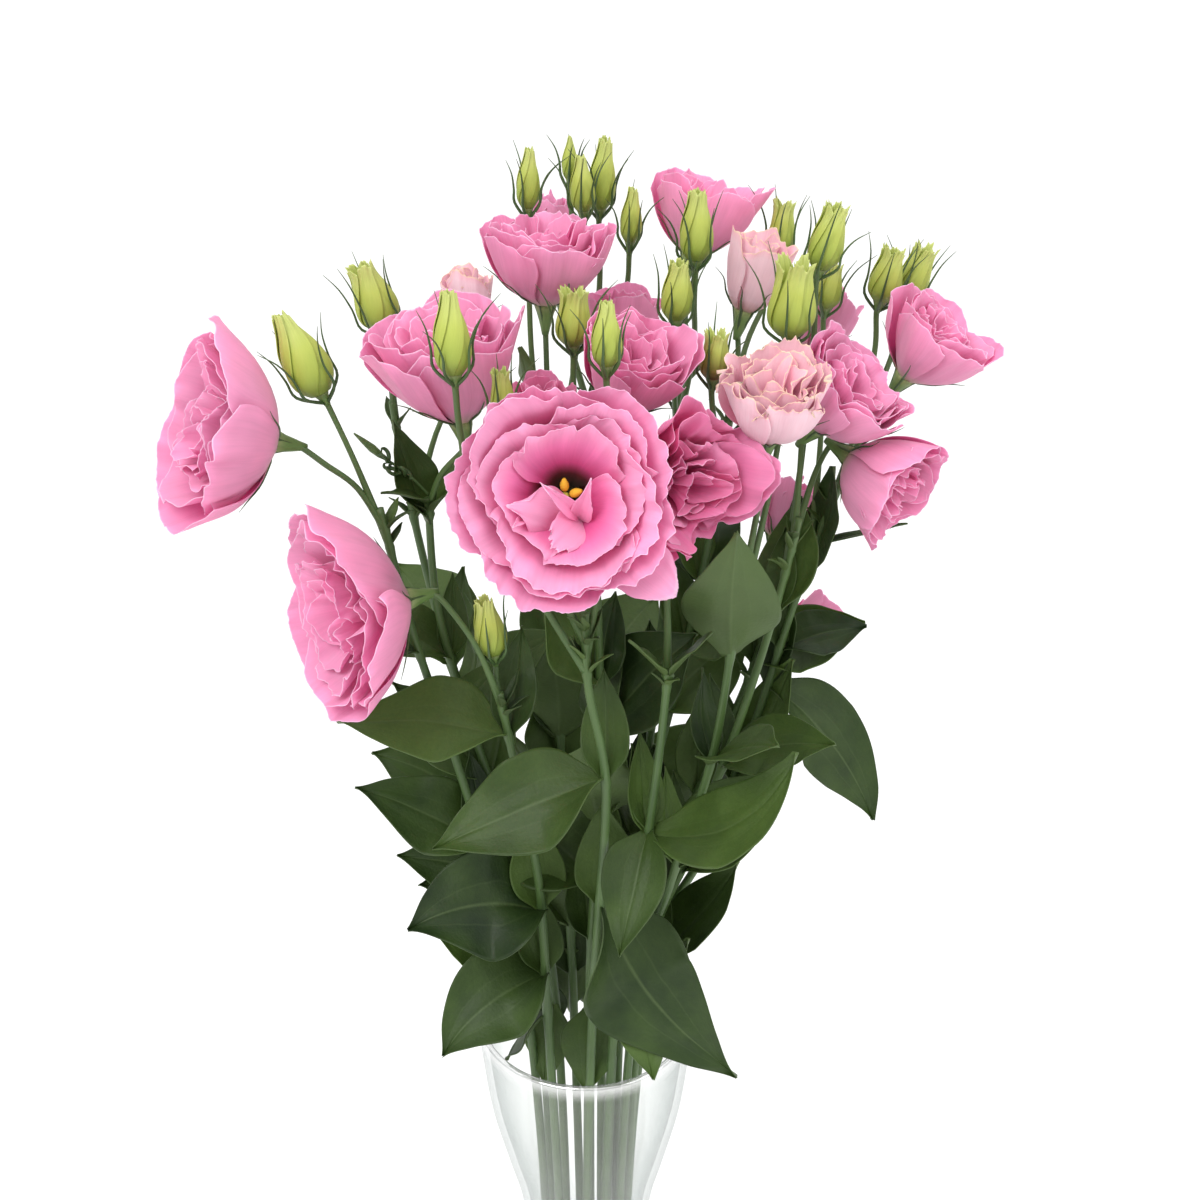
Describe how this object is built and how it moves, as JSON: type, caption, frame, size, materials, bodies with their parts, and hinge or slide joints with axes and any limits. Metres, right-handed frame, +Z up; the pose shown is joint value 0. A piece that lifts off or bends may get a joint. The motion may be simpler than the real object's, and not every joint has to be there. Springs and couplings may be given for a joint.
{
  "type": "lisianthus bouquet in a glass vase",
  "caption": "Bunch of pink double lisianthus with ruffled petals, green buds and broad leaves on long stems, standing in a clear waisted glass vase with water.",
  "frame": {"origin": "middle of the flat underside of the vase", "axes": "+Z up along the vase, the side of the picture's camera is -Y, +X is to the right of the picture"},
  "size_m": [0.2893, 0.1968, 0.602],
  "materials": {
    "glass": "clear, polished",
    "water": "clear liquid",
    "green": "matte grey-green leaf and stem",
    "petal": "soft matte petal, pink, paler at the lips",
    "pale_petal": "soft matte petal, cream pink",
    "pollen": "matte yellow",
    "bud": "satin yellow-green"
  },
  "bodies": {
    "root": {"vase": "glass", "water": "water", "spray_far_left": "green", "spray_left": "green", "spray_left_inner": "green", "spray_left_back": "green", "spray_front": "green", "spray_middle": "green", "spray_front_right": "green", "spray_top_left": "green", "spray_back": "green", "spray_top_right": "green", "spray_pale": "green", "spray_right_front": "green", "spray_right": "green", "spray_far_right": "green", "spray_low_right": "green", "bloom_front": "petal", "bloom_front_right": "petal", "bloom_middle": "petal", "bloom_half_open": "petal", "bloom_left_upper": "petal", "bloom_top_left": "petal", "bloom_back_middle": "petal", "bloom_top_right": "petal", "bloom_pale_back": "pale_petal", "bloom_back_right": "petal", "bloom_pale_cup": "pale_petal", "bloom_right_upper": "petal", "bloom_far_right": "petal", "bloom_right_lower": "petal", "bloom_far_left": "petal", "bloom_left_low": "petal", "bloom_low_right": "petal", "bloom_hidden_right": "petal", "bloom_pale_left": "pale_petal", "bloom_far_back": "petal", "pistil_front": "pollen", "bud_far_left": "bud", "bud_left_back": "bud", "bud_left_tall": "bud", "bud_left_small": "bud", "bud_middle_back": "bud", "bud_middle_front": "bud", "bud_top_left": "bud", "bud_top_tiny": "bud", "bud_top_middle": "bud", "bud_top_right": "bud", "bud_top_dark": "bud", "bud_right_of_top": "bud", "bud_right_low": "bud", "bud_back_pale": "bud", "bud_right_tall": "bud", "bud_right_wide": "bud", "bud_brown": "bud", "bud_far_right": "bud", "bud_far_right_back": "bud", "bud_left_low": "bud", "bud_behind_right": "bud"}
  },
  "joints": []
}
